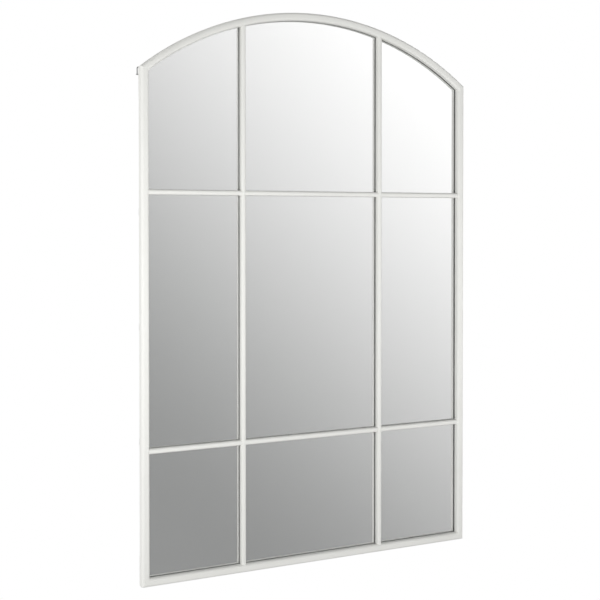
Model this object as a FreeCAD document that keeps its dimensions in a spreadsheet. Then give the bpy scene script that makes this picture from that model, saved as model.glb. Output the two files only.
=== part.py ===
import FreeCAD, Part
import math
import os
import types

import Sketcher

# An arched window mirror: a white tube frame with three by three panes over one mirror sheet,
# hung by two rings. Millimetres, X to the right, front towards -Y, Z up; Y = 0 is the wall.

os.makedirs("parts", exist_ok=True)
doc = FreeCAD.newDocument("WindowMirror")

# Driving sizes
DRIVING_SIZES = {
    "overall_width": 800.0,
    "overall_height": 1200.0,
    "arch_rise": 137.0,
    "frame_face": 17.0,
    "frame_depth": 12.5,
    "frame_nose": 6.0,
    "frame_wall": 1.2,
    "bar_face": 11.0,
    "bar_nose": 5.0,
    "bar_wall": 1.0,
    "upright_depth": 11.0,
    "crossbar_depth": 10.5,
    "upright_spacing": 339.5,
    "lower_bar_height": 277.0,
    "upper_bar_height": 807.5,
    "glass_thickness": 3.0,
    "film_thickness": 0.3,
    "board_thickness": 3.0,
    "sheet_gap": 0.05,
    "sheet_clearance": 1.0,
    "rim_inset": 1.0,
    "rim_thickness": 2.5,
    "plate_thickness": 1.5,
    "plate_leg": 60.0,
    "plate_band": 18.0,
    "tab_width": 14.0,
    "tab_length": 11.0,
    "tab_thickness": 1.0,
    "strap_width": 12.0,
    "strap_length": 19.0,
    "strap_thickness": 1.2,
    "hanger_inset": 8.5,
    "hanger_drop": 16.0,
    "ring_wire": 2.5,
    "ring_width": 18.0,
    "ring_height": 15.0,
    "ring_corner": 3.0,
    "ring_pin_length": 22.0,
    "ring_gap": 0.4,
    "pin_clearance": 0.05,
    "knuckle_width": 10.0,
    "rivet_shank": 3.2,
    "rivet_clearance": 0.05,
    "rivet_head": 5.6,
    "rivet_head_height": 1.0,
    "rivet_drop": 9.5,
    "pad_diameter": 16.0,
    "pad_inset": 17.0,
    "wall_gap": 0.65,
}
TABS_PER_SIDE = 3

sheet = doc.addObject("Spreadsheet::Sheet", "Sizes")
for row, (name, number) in enumerate(DRIVING_SIZES.items(), 1):
    sheet.set(f"A{row}", name)
    sheet.set(f"B{row}", str(number))
    sheet.setAlias(f"B{row}", name)
doc.recompute()


class Size:
    """A length together with the expression over the sheet's cells that gives it."""

    def __init__(self, value, text):
        self.value = float(value)
        self.text = text

    def __add__(self, other):
        other = as_size(other)
        return Size(self.value + other.value, f"({self.text} + {other.text})")

    def __sub__(self, other):
        other = as_size(other)
        return Size(self.value - other.value, f"({self.text} - {other.text})")

    def __mul__(self, other):
        other = as_size(other)
        return Size(self.value * other.value, f"({self.text} * {other.text})")

    def __truediv__(self, other):
        other = as_size(other)
        return Size(self.value / other.value, f"({self.text} / {other.text})")

    def __neg__(self):
        return Size(-self.value, f"(-1 * {self.text})")

    def root(self):
        return Size(math.sqrt(self.value), f"sqrt({self.text})")


def as_size(number):
    if isinstance(number, Size):
        return number
    return Size(number, repr(float(number)))


def leg(hypotenuse, other_leg):
    return (hypotenuse * hypotenuse - other_leg * other_leg).root()


size = types.SimpleNamespace(**{name: Size(sheet.get(name), f"Sizes.{name}") for name in DRIVING_SIZES})
ZERO = as_size(0)

# Arch: the outer arc meets the stiles at the spring, the inner arc is concentric
half_width = size.overall_width / 2
arch_radius = (half_width * half_width + size.arch_rise * size.arch_rise) / (size.arch_rise * 2)
arch_centre = size.overall_height - arch_radius
spring = size.overall_height - size.arch_rise


def arch_height(inset, across):
    """Height of the arc that lies inset from the outside of the frame, at a distance from the centreline."""
    return arch_centre + leg(arch_radius - inset, across)


mitre_drop = spring - arch_height(size.frame_face, half_width - size.frame_face)

# Levels from the wall to the front
ring_axis_offset = size.strap_thickness + size.ring_gap + size.ring_wire / 2
pin_radius = size.ring_wire / 2
bore_radius = pin_radius + size.pin_clearance
knuckle_radius = bore_radius + size.strap_thickness
pad_thickness = ring_axis_offset + knuckle_radius + size.wall_gap
plate_rear = -pad_thickness
board_rear = plate_rear - size.plate_thickness
film_rear = board_rear - size.board_thickness
glass_rear = film_rear - size.film_thickness - size.sheet_gap
glass_front = glass_rear - size.glass_thickness
tube_back = glass_front - size.sheet_gap
rim_depth = board_rear - tube_back

# Hanger places
hanger_across = half_width - size.hanger_inset
hanger_height = spring - size.hanger_drop
ring_axis = plate_rear + ring_axis_offset


# Sketches and features
def bind(item, name, length):
    item.setExpression(name, length.text)


def constrain(sketch, kind, *where, length):
    index = sketch.addConstraint(Sketcher.Constraint(kind, *where, length.value))
    bind(sketch, f"Constraints[{index}]", length)


def outline(sketch, corners, arcs=None, closed=True):
    """A line through corners; arcs maps an edge's number to its arc's centre and radius."""
    arcs = arcs or {}
    first = sketch.GeometryCount
    count = len(corners)
    edges = count if closed else count - 1
    ends = []
    for edge in range(edges):
        across, up = corners[edge]
        next_across, next_up = corners[(edge + 1) % count]
        start = FreeCAD.Vector(across.value, up.value, 0)
        finish = FreeCAD.Vector(next_across.value, next_up.value, 0)
        if edge in arcs:
            centre_across, centre_up, radius = arcs[edge]
            centre = FreeCAD.Vector(centre_across.value, centre_up.value, 0)
            begin = math.atan2(start.y - centre.y, start.x - centre.x)
            end = math.atan2(finish.y - centre.y, finish.x - centre.x)
            forward = (end - begin) % (2 * math.pi) < math.pi
            circle = Part.Circle(centre, FreeCAD.Vector(0, 0, 1), radius.value)
            angles = (begin, end) if forward else (end, begin)
            sketch.addGeometry(Part.ArcOfCircle(circle, *angles))
            ends.append((1, 2) if forward else (2, 1))
        else:
            sketch.addGeometry(Part.LineSegment(start, finish))
            ends.append((1, 2))
    points = [(first + edge, ends[edge][0]) for edge in range(edges)]
    if not closed:
        points.append((first + edges - 1, ends[-1][1]))
    for point, (across, up) in zip(points, corners):
        constrain(sketch, "DistanceX", -1, 1, *point, length=across)
        constrain(sketch, "DistanceY", -1, 1, *point, length=up)
    for edge in range(edges if closed else edges - 1):
        join = (first + edge, ends[edge][1], *points[(edge + 1) % count])
        sketch.addConstraint(Sketcher.Constraint("Coincident", *join))
    for edge, (centre_across, centre_up, radius) in arcs.items():
        constrain(sketch, "Radius", first + edge, length=radius)


def circle(sketch, across, up, radius):
    centre = FreeCAD.Vector(across.value, up.value, 0)
    index = sketch.addGeometry(Part.Circle(centre, FreeCAD.Vector(0, 0, 1), radius.value))
    constrain(sketch, "DistanceX", -1, 1, index, 3, length=across)
    constrain(sketch, "DistanceY", -1, 1, index, 3, length=up)
    constrain(sketch, "Radius", index, length=radius)


def new_body(name, across=ZERO, depth=ZERO, up=ZERO, turn=None):
    body = doc.addObject("PartDesign::Body", name)
    body.Label = name
    base = FreeCAD.Vector(across.value, depth.value, up.value)
    body.Placement = FreeCAD.Placement(base, turn or FreeCAD.Rotation())
    for axis, length in (("x", across), ("y", depth), ("z", up)):
        bind(body, f"Placement.Base.{axis}", length)
    return body


def new_sketch(body, plane, name):
    sketch = body.newObject("Sketcher::SketchObject", f"{body.Name}_{name}")
    origin_plane = next(item for item in body.Origin.OriginFeatures if item.Role == plane)
    sketch.AttachmentSupport = [(origin_plane, "")]
    sketch.MapMode = "FlatFace"
    return sketch


def pad(body, sketch, length, side="One side", backwards=False):
    feature = body.newObject("PartDesign::Pad", f"{sketch.Name}_pad")
    feature.Profile = sketch
    feature.SideType = side
    feature.Reversed = backwards
    feature.Length = length.value
    bind(feature, "Length", length)
    return feature


def cut_through(body, sketch):
    feature = body.newObject("PartDesign::Pocket", f"{sketch.Name}_cut")
    feature.Profile = sketch
    feature.SideType = "Symmetric"
    feature.Type = "ThroughAll"
    return feature


def about_y(degrees):
    return FreeCAD.Rotation(FreeCAD.Vector(0, 1, 0), degrees)


def flat_piece(name, corners, rear, thickness, arcs=None):
    """A plate with its outline in X and Z, its rear face at the level rear."""
    body = new_body(name, depth=rear)
    sketch = new_sketch(body, "XZ_Plane", "outline")
    outline(sketch, corners, arcs)
    pad(body, sketch, thickness)
    return body


# Tube sections: flat back at zero, half-oval front towards minus
FRAME = (size.frame_face, size.frame_depth, size.frame_nose, size.frame_wall)
UPRIGHT = (size.bar_face, size.upright_depth, size.bar_nose, size.bar_wall)
CROSSBAR = (size.bar_face, size.crossbar_depth, size.bar_nose, size.bar_wall)


def half_oval(sketch, left, face, depth, nose, back):
    right = left + face
    front = back - depth
    shoulder = front + nose
    corners = [
        (left, back),
        (right, back),
        (right, shoulder),
        (right - nose, front),
        (left + nose, front),
        (left, shoulder),
    ]
    arcs = {2: (right - nose, shoulder, nose), 4: (left + nose, shoulder, nose)}
    outline(sketch, corners, arcs)


def tube_section(sketch, left, section, hollow):
    face, depth, nose, wall = section
    half_oval(sketch, left, face, depth, nose, ZERO)
    if hollow:
        half_oval(sketch, left + wall, face - wall * 2, depth - wall * 2, nose - wall, -wall)


def straight_tube(body, section, length, hollow=True):
    sketch = new_sketch(body, "XY_Plane", "section")
    tube_section(sketch, -(section[0] / 2), section, hollow)
    pad(body, sketch, length)


def mitre_ends(body, face, length, start_drop, end_drop):
    """Slant both ends: the inner edge stops short of the outer edge by the two drops."""
    sketch = new_sketch(body, "XZ_Plane", "mitres")
    for level, drop, outwards in ((ZERO, start_drop, -face), (length, -end_drop, face)):
        corners = [
            (-face, level - drop / 2),
            (face, level + drop * 3 / 2),
            (face, level + outwards * 2),
            (-face, level + outwards * 2),
        ]
        outline(sketch, corners)
    cut_through(body, sketch)


# Stiles
TURNED_OVER = about_y(180)
stile_across = half_width - size.frame_face / 2
left_stile = new_body("left_stile", -stile_across, tube_back, ZERO)
straight_tube(left_stile, FRAME, spring)
mitre_ends(left_stile, size.frame_face, spring, size.frame_face, mitre_drop)
right_stile = new_body("right_stile", stile_across, tube_back, spring, TURNED_OVER)
straight_tube(right_stile, FRAME, spring)
mitre_ends(right_stile, size.frame_face, spring, mitre_drop, size.frame_face)

# Bottom rail
LAID_FLAT = about_y(-90)
bottom_rail = new_body("bottom_rail", half_width, tube_back, size.frame_face / 2, LAID_FLAT)
straight_tube(bottom_rail, FRAME, size.overall_width)
mitre_ends(bottom_rail, size.frame_face, size.overall_width, size.frame_face, size.frame_face)

# Arch head: the tube section turned about the arch centre; its own X is up, Y right, Z back
ARCH_TURN = about_y(-90).multiply(FreeCAD.Rotation(FreeCAD.Vector(1, 0, 0), -90))
ARCH_OVERRUN = 2
ARCH_SPAN = 2 * math.degrees(math.asin(half_width.value / arch_radius.value)) + ARCH_OVERRUN


def rolled_tube(name, hollow=True):
    body = new_body(name, ZERO, tube_back, arch_centre, ARCH_TURN)
    sketch = new_sketch(body, "XZ_Plane", "section")
    tube_section(sketch, arch_radius - size.frame_face, FRAME, hollow)
    feature = body.newObject("PartDesign::Revolution", f"{name}_roll")
    feature.Profile = sketch
    feature.ReferenceAxis = (sketch, ["V_Axis"])
    feature.Midplane = True
    feature.Angle = ARCH_SPAN
    return body


arch_head = rolled_tube("arch_head")
spring_mitres = new_sketch(arch_head, "XY_Plane", "mitres")
spring_up = spring - arch_centre
for side in (-1, 1):
    mitre_corners = [
        (spring_up + mitre_drop, (half_width + size.frame_face) * side),
        (spring_up - mitre_drop * 2, (half_width - size.frame_face * 2) * side),
        (spring_up - mitre_drop * 8, (half_width - size.frame_face * 2) * side),
        (spring_up - mitre_drop * 8, (half_width + size.frame_face) * side),
    ]
    outline(spring_mitres, mitre_corners)
cut_through(arch_head, spring_mitres)

# Full forms of the frame, used to cope the ends of the bars
left_stile_form = new_body("left_stile_form", -stile_across, tube_back, ZERO)
straight_tube(left_stile_form, FRAME, spring, hollow=False)
right_stile_form = new_body("right_stile_form", stile_across, tube_back, ZERO)
straight_tube(right_stile_form, FRAME, spring, hollow=False)
rail_form = new_body("rail_form", half_width, tube_back, size.frame_face / 2, LAID_FLAT)
straight_tube(rail_form, FRAME, size.overall_width, hollow=False)
arch_form = rolled_tube("arch_form", hollow=False)


def coped(name, blank, tools):
    """The blank tube with its ends cut to the forms it butts against."""
    forms = doc.addObject("Part::Compound", f"{name}_neighbours")
    forms.Links = tools
    piece = doc.addObject("Part::Cut", name)
    piece.Label = name
    piece.Base = blank
    piece.Tool = forms
    return piece


# Upright bars: from the middle of the bottom rail to the middle of the arch tube, then coped
upright_across = size.upright_spacing / 2
upright_start = size.frame_face / 2
upright_length = arch_height(size.frame_face / 2, upright_across) - upright_start
uprights = {}
upright_forms = {}
for side, sign in (("left", -1), ("right", 1)):
    name = f"{side}_upright_bar"
    blank = new_body(f"{name}_blank", upright_across * sign, tube_back, upright_start)
    straight_tube(blank, UPRIGHT, upright_length)
    form = new_body(f"{name}_form", upright_across * sign, tube_back, upright_start)
    straight_tube(form, UPRIGHT, upright_length, hollow=False)
    upright_forms[side] = form
    uprights[side] = coped(name, blank, [rail_form, arch_form])

# Crossbars: two rows of three between the stiles and the uprights
BAYS = {
    "left": (-stile_across, -upright_across, [left_stile_form, upright_forms["left"]]),
    "middle": (-upright_across, upright_across, [upright_forms["left"], upright_forms["right"]]),
    "right": (upright_across, stile_across, [upright_forms["right"], right_stile_form]),
}
crossbars = []
for row, height in (("lower", size.lower_bar_height), ("upper", size.upper_bar_height)):
    for bay, (from_across, to_across, neighbours) in BAYS.items():
        name = f"{row}_{bay}_crossbar"
        blank = new_body(f"{name}_blank", to_across, tube_back, height, LAID_FLAT)
        straight_tube(blank, CROSSBAR, to_across - from_across)
        crossbars.append(coped(name, blank, neighbours))

# Mirror sheet: glass, silver film and back board share one arched outline
sheet_inset = size.rim_inset + size.rim_thickness + size.sheet_clearance
sheet_across = half_width - sheet_inset
sheet_spring = arch_height(sheet_inset, sheet_across)
SHEET_CORNERS = [
    (-sheet_across, sheet_inset),
    (sheet_across, sheet_inset),
    (sheet_across, sheet_spring),
    (-sheet_across, sheet_spring),
]
SHEET_ARCS = {2: (ZERO, arch_centre, arch_radius - sheet_inset)}
mirror_glass = flat_piece("mirror_glass", SHEET_CORNERS, glass_rear, size.glass_thickness, SHEET_ARCS)
silver_film = flat_piece("silver_film", SHEET_CORNERS, film_rear, size.film_thickness, SHEET_ARCS)
back_board = flat_piece("back_board", SHEET_CORNERS, board_rear, size.board_thickness, SHEET_ARCS)

# Rim strips: flat bars on edge around the sheet, mitred like the tubes
rim_outer = half_width - size.rim_inset
rim_inner = rim_outer - size.rim_thickness
rim_bottom = size.rim_inset
rim_floor = rim_bottom + size.rim_thickness
rim_outer_spring = arch_height(size.rim_inset, rim_outer)
rim_inner_spring = arch_height(size.rim_inset + size.rim_thickness, rim_inner)
rims = []
for side, sign in (("left", -1), ("right", 1)):
    corners = [
        (rim_outer * sign, rim_bottom),
        (rim_outer * sign, rim_outer_spring),
        (rim_inner * sign, rim_inner_spring),
        (rim_inner * sign, rim_floor),
    ]
    rims.append(flat_piece(f"{side}_rim", corners, board_rear, rim_depth))
bottom_corners = [
    (-rim_outer, rim_bottom),
    (rim_outer, rim_bottom),
    (rim_inner, rim_floor),
    (-rim_inner, rim_floor),
]
rims.append(flat_piece("bottom_rim", bottom_corners, board_rear, rim_depth))
arch_corners = [
    (rim_outer, rim_outer_spring),
    (-rim_outer, rim_outer_spring),
    (-rim_inner, rim_inner_spring),
    (rim_inner, rim_inner_spring),
]
arch_arcs = {
    0: (ZERO, arch_centre, arch_radius - size.rim_inset),
    2: (ZERO, arch_centre, arch_radius - size.rim_inset - size.rim_thickness),
}
rims.append(flat_piece("arch_rim", arch_corners, board_rear, rim_depth, arch_arcs))

# Corner plates: the top ones follow the arch and carry the hangers
plate_reach = rim_outer - size.plate_leg
plate_band_across = rim_outer - size.plate_band
plate_top = rim_bottom + size.plate_leg
plate_foot = rim_outer_spring - size.plate_leg
plate_reach_height = arch_height(size.rim_inset, plate_reach)
rivet_height = hanger_height - size.rivet_drop
rivet_bore = size.rivet_shank / 2 + size.rivet_clearance
plates = []
for side, sign in (("left", -1), ("right", 1)):
    corners = [
        (rim_outer * sign, rim_bottom),
        (plate_reach * sign, rim_bottom),
        (plate_reach * sign, rim_bottom + size.plate_band),
        (plate_band_across * sign, plate_top),
        (rim_outer * sign, plate_top),
    ]
    plates.append(flat_piece(f"bottom_{side}_corner_plate", corners, board_rear, size.plate_thickness))
    corners = [
        (rim_outer * sign, rim_outer_spring),
        (plate_reach * sign, plate_reach_height),
        (plate_reach * sign, plate_reach_height - size.plate_band),
        (plate_band_across * sign, plate_foot),
        (rim_outer * sign, plate_foot),
    ]
    arcs = {0: (ZERO, arch_centre, arch_radius - size.rim_inset)}
    plate = flat_piece(f"top_{side}_corner_plate", corners, board_rear, size.plate_thickness, arcs)
    hole = new_sketch(plate, "XZ_Plane", "rivet_hole")
    circle(hole, hanger_across * sign, rivet_height, rivet_bore)
    cut_through(plate, hole)
    plates.append(plate)
for plate in plates:
    bind(plate, "Placement.Base.y", plate_rear)
    plate.Placement.Base.y = plate_rear.value

# Hanger straps: a flat strap with its top end rolled into a knuckle around the ring
straps = []
for side, sign in (("left", -1), ("right", 1)):
    strap = new_body(f"{side}_hanger_strap", hanger_across * sign, ring_axis, hanger_height)
    strap_outline = new_sketch(strap, "XZ_Plane", "outline")
    strap_outline.AttachmentOffset.Base.z = (ring_axis_offset - size.strap_thickness).value
    bind(strap_outline, "AttachmentOffset.Base.z", ring_axis_offset - size.strap_thickness)
    half_strap = size.strap_width / 2
    round_up = half_strap - size.strap_length
    corners = [
        (-half_strap, ZERO),
        (-half_strap, round_up),
        (ZERO, -size.strap_length),
        (half_strap, round_up),
        (half_strap, ZERO),
    ]
    arcs = {1: (ZERO, round_up, half_strap), 2: (ZERO, round_up, half_strap)}
    outline(strap_outline, corners, arcs)
    pad(strap, strap_outline, size.strap_thickness)
    knuckle = new_sketch(strap, "YZ_Plane", "knuckle")
    circle(knuckle, ZERO, ZERO, knuckle_radius)
    circle(knuckle, ZERO, ZERO, bore_radius)
    pad(strap, knuckle, size.knuckle_width, side="Symmetric")
    hole = new_sketch(strap, "XZ_Plane", "rivet_hole")
    circle(hole, ZERO, -size.rivet_drop, rivet_bore)
    cut_through(strap, hole)
    straps.append(strap)

# Hanger rings: a wire loop on a straight pin that turns in the knuckle
half_ring = size.ring_width / 2
ring_shoulder = size.ring_height - size.ring_corner
ring_top = half_ring - size.ring_corner
RING_PATH = [
    (-half_ring, ZERO),
    (-half_ring, ring_shoulder),
    (-ring_top, size.ring_height),
    (ring_top, size.ring_height),
    (half_ring, ring_shoulder),
    (half_ring, ZERO),
]
RING_BENDS = {
    1: (-ring_top, ring_shoulder, size.ring_corner),
    3: (ring_top, ring_shoulder, size.ring_corner),
}
rings = []
for side, sign in (("left", -1), ("right", 1)):
    ring = new_body(f"{side}_hanger_ring", hanger_across * sign, ring_axis, hanger_height)
    pin = new_sketch(ring, "YZ_Plane", "pin")
    circle(pin, ZERO, ZERO, pin_radius)
    pad(ring, pin, size.ring_pin_length, side="Symmetric")
    path = new_sketch(ring, "XZ_Plane", "path")
    outline(path, RING_PATH, RING_BENDS, closed=False)
    wire = new_sketch(ring, "XY_Plane", "wire")
    circle(wire, -half_ring, ZERO, pin_radius)
    doc.recompute()
    loop = ring.newObject("PartDesign::AdditivePipe", f"{ring.Name}_loop")
    loop.Profile = wire
    loop.Spine = (path, [f"Edge{number}" for number in range(1, len(RING_PATH))])
    rings.append(ring)

# Rivets: a plain shank through strap and plate and a flat round head
TO_THE_WALL = FreeCAD.Rotation(FreeCAD.Vector(1, 0, 0), -90)


def stand_on_wall_side(piece, across, depth, up):
    base = FreeCAD.Vector(across.value, depth.value, up.value)
    piece.Placement = FreeCAD.Placement(base, TO_THE_WALL)
    for axis, length in (("x", across), ("y", depth), ("z", up)):
        bind(piece, f"Placement.Base.{axis}", length)


def disc(name, diameter, thickness, across, depth, up):
    piece = doc.addObject("Part::Cylinder", name)
    piece.Label = name
    bind(piece, "Radius", diameter / 2)
    bind(piece, "Height", thickness)
    stand_on_wall_side(piece, across, depth, up)
    return piece


rivets = []
strap_rear = plate_rear + size.strap_thickness
grip = size.plate_thickness + size.strap_thickness
for side, sign in (("left", -1), ("right", 1)):
    across = hanger_across * sign
    shank = disc(f"{side}_rivet_shank", size.rivet_shank, grip, across, board_rear, rivet_height)
    head_height = size.rivet_head_height
    head = disc(f"{side}_rivet_head", size.rivet_head, head_height, across, strap_rear, rivet_height)
    rivet = doc.addObject("Part::Fuse", f"{side}_rivet")
    rivet.Base = shank
    rivet.Tool = head
    rivets.append(rivet)
hanger_rivets = doc.addObject("Part::Compound", "hanger_rivets")
hanger_rivets.Label = "hanger_rivets"
hanger_rivets.Links = rivets

# Retaining tabs: small straps over the rim's rear edge and the board
tabs = []


def add_tab(turn_degrees, rim_distance, along, pivot):
    """A tab whose outer end lies at rim_distance from the pivot, in the direction that the turn gives."""
    tab = doc.addObject("Part::Box", f"tab_{len(tabs) + 1}")
    bind(tab, "Length", size.tab_width)
    bind(tab, "Width", size.tab_thickness)
    bind(tab, "Height", size.tab_length)
    corner = FreeCAD.Vector(along - size.tab_width.value / 2, 0, rim_distance - size.tab_length.value)
    turn = about_y(turn_degrees)
    base = pivot + turn.multVec(corner)
    tab.Placement = FreeCAD.Placement(base, turn)
    tabs.append(tab)


board_plane = FreeCAD.Vector(0, board_rear.value, 0)
arch_pivot = FreeCAD.Vector(0, board_rear.value, arch_centre.value)
arch_half_angle = math.degrees(math.asin(plate_reach.value / (arch_radius - size.rim_inset).value))
for number in range(1, TABS_PER_SIDE + 1):
    share = number / (TABS_PER_SIDE + 1)
    height = plate_top.value + share * (plate_foot.value - plate_top.value)
    add_tab(-90, rim_outer.value, height, board_plane)
    add_tab(90, rim_outer.value, -height, board_plane)
    add_tab(180, -rim_bottom.value, plate_reach.value * (2 * share - 1), board_plane)
    add_tab(arch_half_angle * (2 * share - 1), (arch_radius - size.rim_inset).value, 0, arch_pivot)
board_tabs = doc.addObject("Part::Compound", "board_tabs")
board_tabs.Label = "board_tabs"
board_tabs.Links = tabs

# Wall pads: rubber discs on the bottom corner plates
pads = []
for side, sign in (("left", -1), ("right", 1)):
    across = (half_width - size.pad_inset) * sign
    up = size.pad_inset
    pads.append(disc(f"{side}_wall_pad", size.pad_diameter, pad_thickness, across, plate_rear, up))

doc.recompute()

# Write every piece after a look at its state
for item in doc.Objects:
    if "Invalid" in item.State or "Error" in item.State:
        raise RuntimeError(f"{item.Label}: {item.State}")
pieces = [left_stile, right_stile, bottom_rail, arch_head, mirror_glass, silver_film, back_board]
pieces += [*uprights.values(), *crossbars, *rims, *plates, *straps, *rings, *pads]
pieces += [hanger_rivets, board_tabs]
for piece in pieces:
    if piece.Shape.isNull() or not piece.Shape.isValid():
        raise RuntimeError(f"{piece.Label}: no valid shape")
    piece.Shape.exportStep(f"parts/{piece.Label}.step")
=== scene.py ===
import math

import bmesh
import bpy
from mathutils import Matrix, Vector


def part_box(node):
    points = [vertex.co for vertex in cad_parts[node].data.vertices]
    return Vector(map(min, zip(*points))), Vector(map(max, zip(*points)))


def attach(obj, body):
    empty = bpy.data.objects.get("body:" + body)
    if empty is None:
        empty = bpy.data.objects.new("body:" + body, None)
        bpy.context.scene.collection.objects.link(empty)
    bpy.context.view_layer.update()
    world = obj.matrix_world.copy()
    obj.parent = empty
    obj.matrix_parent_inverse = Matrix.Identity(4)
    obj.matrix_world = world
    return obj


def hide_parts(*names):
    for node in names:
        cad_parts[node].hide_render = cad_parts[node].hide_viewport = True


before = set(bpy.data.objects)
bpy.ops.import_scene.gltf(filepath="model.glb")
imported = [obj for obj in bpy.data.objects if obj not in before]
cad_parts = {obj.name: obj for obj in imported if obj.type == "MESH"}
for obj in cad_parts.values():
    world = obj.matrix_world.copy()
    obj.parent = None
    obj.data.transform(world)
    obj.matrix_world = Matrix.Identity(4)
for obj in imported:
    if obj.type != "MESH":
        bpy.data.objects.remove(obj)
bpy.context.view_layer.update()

scene = bpy.context.scene

# Frame tubes, glazing bars, rims and corner plates
# Half-oval steel tube, mitred and welded into an arched frame with a three by three grid in it; flat
# rim strips and corner plates are fixed behind the tubes, and all of it is powder coated satin white.
TUBES = ["left_stile", "right_stile", "bottom_rail", "arch_head", "left_upright_bar", "right_upright_bar"]
TUBES += [f"{row}_{bay}_crossbar" for row in ("upper", "lower") for bay in ("left", "middle", "right")]
FLATS = ["left_rim", "right_rim", "bottom_rim", "arch_rim"]
FLATS += [f"{end}_{side}_corner_plate" for end in ("top", "bottom") for side in ("left", "right")]
MERGE_DISTANCE = 0.000002
CREASE_ANGLE = math.radians(32.0)
PAINT_DULL = (0.775, 0.775, 0.738, 1.0)
PAINT_BRIGHT = (0.865, 0.865, 0.835, 1.0)


class Shade:
    """A socket of a node tree: operators on it add Math nodes, and node() adds any other node."""

    def __init__(self, tree, socket=None):
        self.tree = tree
        self.socket = socket

    def node(self, kind, settings=None, sockets=None, output=None):
        """Adds a node and returns the named output of it, or else its first one."""
        made = self.tree.nodes.new(f"ShaderNode{kind}")
        for name, setting in (settings or {}).items():
            if name == "stops":
                for element, (position, colour) in zip(made.color_ramp.elements, setting):
                    element.position = position
                    element.color = colour
            else:
                setattr(made, name, setting)
        for name, value in (sockets or {}).items():
            if isinstance(name, int):
                target = made.inputs[name]
            else:
                target = next(item for item in made.inputs if item.name == name and item.enabled)
            if isinstance(value, Shade):
                self.tree.links.new(value.socket, target)
            else:
                target.default_value = value
        if output:
            source = made.outputs[output]
        else:
            source = next((item for item in made.outputs if item.enabled), None)
        return Shade(self.tree, source)

    def also(self, output):
        """Another output of the same node."""
        return Shade(self.tree, self.socket.node.outputs[output])

    def _math(self, operation, first, second):
        return self.node("Math", {"operation": operation}, {0: first, 1: second})

    def __add__(self, other):
        return self._math("ADD", self, other)

    def __radd__(self, other):
        return self._math("ADD", other, self)

    def __rsub__(self, other):
        return self._math("SUBTRACT", other, self)

    def __mul__(self, other):
        return self._math("MULTIPLY", self, other)

    def __rmul__(self, other):
        return self._math("MULTIPLY", other, self)


def new_material(name):
    made = bpy.data.materials.new(name)
    made.use_nodes = True
    made.node_tree.nodes.clear()
    return made, Shade(made.node_tree)


def noise(place, scale, detail=2.0, roughness=0.5):
    sockets = {"Vector": place, "Scale": scale, "Detail": detail, "Roughness": roughness}
    return place.node("TexNoise", {}, sockets, "Fac")


def two_noises(first, second, first_share):
    return first * first_share + second * (1 - first_share)


def span(share, low, high):
    return low + share * (high - low)


def between(share, first, second):
    return share.node("Mix", {"data_type": "RGBA"}, {"Factor": share, "A": first, "B": second})


def relief(height, strength, distance):
    return height.node("Bump", {}, {"Strength": strength, "Distance": distance, "Height": height}, "Normal")


def surface(nodes, sockets):
    """Ends a material with one Principled shader."""
    nodes.node("OutputMaterial", {}, {"Surface": nodes.node("BsdfPrincipled", {}, sockets)})


paint, nodes = new_material("white_powder_coat")
place = nodes.node("TexCoord", output="Object")
cloud = noise(place, scale=7.0, detail=3.0)
mottle = noise(place, scale=160.0, detail=3.0, roughness=0.6)
peel = noise(place, scale=620.0, detail=1.5)
coat = {
    "Base Color": between(two_noises(cloud, mottle, first_share=0.7), PAINT_DULL, PAINT_BRIGHT),
    "Roughness": span(mottle, low=0.36, high=0.52),
    "Normal": relief(peel, strength=0.12, distance=0.0003),
    "IOR": 1.5,
}
surface(nodes, coat)


def joined_copy(name, material, body="mirror"):
    """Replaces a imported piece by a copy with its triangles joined, so that round faces shade smoothly."""
    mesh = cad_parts[name].data.copy()
    packed_normals = mesh.attributes.get("custom_normal")
    if packed_normals:
        mesh.attributes.remove(packed_normals)
    joined = bmesh.new()
    joined.from_mesh(mesh)
    bmesh.ops.remove_doubles(joined, verts=joined.verts, dist=MERGE_DISTANCE)
    joined.to_mesh(mesh)
    joined.free()
    mesh.shade_smooth()
    mesh.set_sharp_from_angle(angle=CREASE_ANGLE)
    mesh.materials.clear()
    mesh.materials.append(material)
    piece = bpy.data.objects.new(f"{name}_finish", mesh)
    scene.collection.objects.link(piece)
    even = piece.modifiers.new("even_normals", "WEIGHTED_NORMAL")
    even.keep_sharp = True
    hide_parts(name)
    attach(piece, body)


for name in TUBES + FLATS:
    joined_copy(name, paint)

# Mirror glass
# One sheet of 3 mm float glass behind the grid, with the rim around its edge; clear with a faint green
# cast and the slight haze of a wiped surface.
GLASS_GREEN = (0.78, 0.86, 0.82, 1.0)
GLASS_PALE = (0.84, 0.90, 0.87, 1.0)
glass, nodes = new_material("clear_float_glass")
place = nodes.node("TexCoord", output="Object")
haze = noise(place, scale=9.0, detail=4.0, roughness=0.6)
clear = {
    "Base Color": between(haze, GLASS_GREEN, GLASS_PALE),
    "Roughness": span(haze, low=0.02, high=0.05),
    "IOR": 1.5,
    "Alpha": 0.04,
}
surface(nodes, clear)


def coat_node(name, material):
    """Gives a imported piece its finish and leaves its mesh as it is."""
    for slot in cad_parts[name].material_slots:
        slot.material = material


coat_node("mirror_glass", glass)

# Silver film
# The silvering on the rear of the glass and the paint that backs it, drawn as one thin film; it lies
# on the board and gives the mirror its image.
SILVER_DULL = (0.950, 0.946, 0.946, 1.0)
SILVER_BRIGHT = (0.962, 0.958, 0.957, 1.0)
silver, nodes = new_material("silvering")
place = nodes.node("TexCoord", output="Object")
drift = noise(place, scale=3.0)
film = {
    "Base Color": between(drift, SILVER_DULL, SILVER_BRIGHT),
    "Metallic": 1.0,
    "Roughness": span(drift, low=0.004, high=0.012),
}
surface(nodes, film)
coat_node("silver_film", silver)

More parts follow.
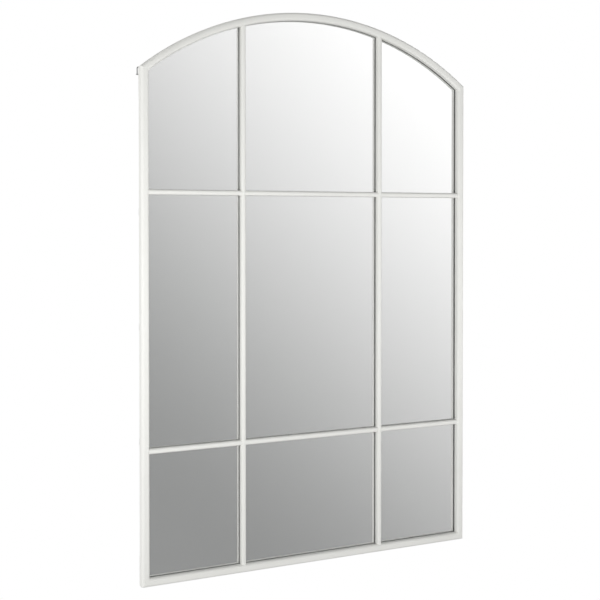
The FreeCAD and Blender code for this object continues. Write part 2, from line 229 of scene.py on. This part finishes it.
# Back board
# Brown hardboard cut to the arch, smooth on its wall side, with pressed fibres and darker flecks; it
# keeps the film and the glass pressed to the frame and is held by the tabs.
BOARD_DARK = (0.165, 0.096, 0.052, 1.0)
BOARD_LIGHT = (0.350, 0.228, 0.134, 1.0)
BOARD_FLECK = (0.095, 0.055, 0.032, 1.0)
BLACK = (0, 0, 0, 1)
WHITE = (1, 1, 1, 1)
FLECK_STOPS = [(0.53, BLACK), (0.66, WHITE)]
FLECK_SHARE = 0.6
FIBRE_STRETCH = (1.0, 1.0, 0.3)
board, nodes = new_material("hardboard")
place = nodes.node("TexCoord", output="Object")
cloud = noise(place, scale=24.0, detail=5.0, roughness=0.65)
long_way = nodes.node("Mapping", {}, {"Vector": place, "Scale": FIBRE_STRETCH})
fibre = noise(long_way, scale=380.0, detail=6.0, roughness=0.75)
fleck = nodes.node("ValToRGB", {"stops": FLECK_STOPS}, {"Fac": fibre}, "Color")
brown = between(two_noises(cloud, fibre, first_share=0.6), BOARD_DARK, BOARD_LIGHT)
pressed = {
    "Base Color": between(FLECK_SHARE * fleck, brown, BOARD_FLECK),
    "Roughness": span(fibre, low=0.55, high=0.80),
    "Normal": relief(fibre, strength=0.25, distance=0.0003),
}
surface(nodes, pressed)
coat_node("back_board", board)

# Tabs, hanger straps, rings and rivets
# Zinc-plated steel: flat tabs over the board's edge, a pressed strap at each upper corner, a bent wire
# ring that turns in each strap's knuckle, and one rivet through each strap into its corner plate.
ZINC_DULL = (0.40, 0.405, 0.41, 1.0)
ZINC_BRIGHT = (0.66, 0.665, 0.67, 1.0)
SCRATCH_STRETCH = (0.12, 1.0, 1.0)
zinc, nodes = new_material("zinc_plate")
place = nodes.node("TexCoord", output="Object")
drawn = nodes.node("Mapping", {}, {"Vector": place, "Scale": SCRATCH_STRETCH})
scratch = noise(drawn, scale=4200.0, detail=3.0, roughness=0.6)
patch = noise(place, scale=260.0, detail=3.0, roughness=0.55)
plated = {
    "Base Color": between(two_noises(patch, scratch, first_share=0.6), ZINC_DULL, ZINC_BRIGHT),
    "Metallic": 1.0,
    "Roughness": span(scratch, low=0.26, high=0.48),
    "Normal": relief(scratch, strength=0.15, distance=0.0001),
}
surface(nodes, plated)
coat_node("board_tabs", zinc)
coat_node("hanger_rivets", zinc)
for side in ("left", "right"):
    joined_copy(f"{side}_hanger_strap", zinc)
    joined_copy(f"{side}_hanger_ring", zinc, f"{side}_ring")

# Wall pads
# Discs of black moulded rubber with a faint dusty bloom, stuck to the lower corner plates; they hold
# the mirror's lower end off the wall.
RUBBER_BLACK = (0.016, 0.016, 0.017, 1.0)
RUBBER_BLOOM = (0.045, 0.044, 0.043, 1.0)
rubber, nodes = new_material("pad_rubber")
place = nodes.node("TexCoord", output="Object")
grain = noise(place, scale=1500.0, detail=3.0, roughness=0.6)
bloom = noise(place, scale=120.0, detail=3.0)
moulded = {
    "Base Color": between(bloom, RUBBER_BLACK, RUBBER_BLOOM),
    "Roughness": span(grain, low=0.62, high=0.82),
    "Normal": relief(grain, strength=0.2, distance=0.0002),
}
surface(nodes, moulded)
coat_node("left_wall_pad", rubber)
coat_node("right_wall_pad", rubber)

# Floor
# A plain white studio floor well below the hanging mirror, as bright as the backdrop so that the two
# run together; it neither lights the mirror nor shows in it.
FLOOR_DROP = 2.2
FLOOR_HALF_SIDE = 14.0
BACKDROP_LEVEL = 1.0
sweep = bmesh.new()
bmesh.ops.create_grid(sweep, x_segments=1, y_segments=1, size=FLOOR_HALF_SIDE)
bmesh.ops.translate(sweep, verts=sweep.verts, vec=(0, 0, -FLOOR_DROP))
floor_mesh = bpy.data.meshes.new("floor")
sweep.to_mesh(floor_mesh)
sweep.free()
floor = bpy.data.objects.new("floor", floor_mesh)
scene.collection.objects.link(floor)
pale, nodes = new_material("pale_floor")
lit = nodes.node("Emission", {}, {"Color": WHITE, "Strength": BACKDROP_LEVEL})
nodes.node("OutputMaterial", {}, {"Surface": lit})
floor_mesh.materials.append(pale)
floor.visible_diffuse = False
floor.visible_glossy = False

# Studio light
# A white backdrop for the camera, in a room that grows brighter to the upper right and on the left, with
# a dim ceiling, a grey ground, a soft box in front to the left and a weaker one to the right; reflections
# show the left wall and the far right end dimmer than they light the paint.
CEILING_BAND = (0.22, 0.55)
GROUND_BAND = (0.34, 0.60)
BEHIND_BAND = (-0.05, 0.35)
WALL_BAND = (0.1564, 0.8084)
LEFT_BAND = (-0.1, 0.5)
RIGHT_END_BAND = (0.62, 0.88)
UP_AGAINST_ACROSS = 0.8663
WALL_DIM = 0.284
WALL_BRIGHT = 1.345
LEFT_WALL_IN_FRONT = 1.26
LEFT_WALL_BEHIND = 1.0
LEFT_WALL_HIDDEN = 0.6
RIGHT_END_HIDDEN = 0.55
CEILING_IN_FRONT = 0.09
CEILING_BEHIND = 0.6
GROUND_LEVEL = 0.49
SOFT_BOX_SIDE = 0.4


def soft_step(value, band, low=0.0, high=1.0):
    """Goes smoothly from low to high while the value passes through the band."""
    start, end = band
    sockets = {"Value": value, "From Min": start, "From Max": end, "To Min": low, "To Max": high}
    return value.node("MapRange", {"interpolation_type": "SMOOTHSTEP"}, sockets, "Result")


room = bpy.data.worlds.new("studio")
scene.world = room
room.use_nodes = True
room.node_tree.nodes.clear()
nodes = Shade(room.node_tree)
across = nodes.node("SeparateXYZ", {}, {"Vector": nodes.node("TexCoord", output="Generated")}, "X")
ahead = across.also("Y")
up = across.also("Z")
for_camera = nodes.node("LightPath", output="Is Camera Ray")
reflected = for_camera.also("Is Glossy Ray")
ceiling = soft_step(up, CEILING_BAND)
ground = soft_step(-1 * up, GROUND_BAND)
left_level = soft_step(ahead, BEHIND_BAND, LEFT_WALL_IN_FRONT, LEFT_WALL_BEHIND)
left_wall = soft_step(-1 * across, LEFT_BAND) * left_level * (1 - LEFT_WALL_HIDDEN * reflected)
right_end = soft_step(across, RIGHT_END_BAND) * reflected
far_wall = soft_step(across + up * UP_AGAINST_ACROSS, WALL_BAND, WALL_DIM, WALL_BRIGHT)
walls = far_wall * (1 - RIGHT_END_HIDDEN * right_end) + left_wall
ceiling_level = soft_step(ahead, BEHIND_BAND, CEILING_IN_FRONT, CEILING_BEHIND)
glow = walls * (1 - ceiling) * (1 - ground) + ceiling * ceiling_level + ground * GROUND_LEVEL
room_light = nodes.node("Background", {}, {"Color": WHITE, "Strength": glow})
backdrop = nodes.node("Background", {}, {"Color": WHITE, "Strength": BACKDROP_LEVEL})
both = nodes.node("MixShader", {}, {0: for_camera, 1: room_light, 2: backdrop})
nodes.node("OutputWorld", {}, {"Surface": both})


def soft_box(name, place, aim, watts):
    lamp = bpy.data.lights.new(name, "AREA")
    lamp.size = SOFT_BOX_SIDE
    lamp.energy = watts
    stand = bpy.data.objects.new(name, lamp)
    stand.location = place
    stand.rotation_euler = (Vector(aim) - Vector(place)).to_track_quat("-Z", "Y").to_euler()
    stand.visible_camera = False
    stand.visible_glossy = False
    scene.collection.objects.link(stand)


soft_box("key_light", place=(-0.7, -0.8, 0.6), aim=(-0.1, 0.0, 0.5), watts=3.7)
soft_box("fill_light", place=(0.6, -0.7, 0.55), aim=(0.2, 0.0, 0.5), watts=1.33)

# Camera
# A long lens to the left of the mirror and a little above its middle, tipped slightly down, with its
# frame slid down so that the upright tubes stay nearly parallel. AXIS_ROW is where the lens points.
PICTURE_SIDE = 600
FOCAL_PIXELS = 1192.94
AXIS_ROW = 241.48
SENSOR_WIDTH = 36.0
LEVEL = math.radians(90.0)
TIP_DOWN = math.radians(1.0)
TURN_RIGHT = math.radians(28.25)
LEFT_OF_MIDDLE = 1.26119
BEFORE_GLASS = 2.29198
ABOVE_FOOT = 0.74896
glass_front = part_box("mirror_glass")[0].y
camera = bpy.data.cameras.new("camera")
camera.sensor_width = SENSOR_WIDTH
camera.lens = SENSOR_WIDTH * FOCAL_PIXELS / PICTURE_SIDE
camera.shift_y = (AXIS_ROW - PICTURE_SIDE / 2) / PICTURE_SIDE
camera_stand = bpy.data.objects.new("camera", camera)
camera_stand.location = (-LEFT_OF_MIDDLE, glass_front - BEFORE_GLASS, ABOVE_FOOT)
camera_stand.rotation_euler = (LEVEL - TIP_DOWN, 0, -TURN_RIGHT)
scene.collection.objects.link(camera_stand)
scene.camera = camera_stand
scene.view_settings.view_transform = "Standard"
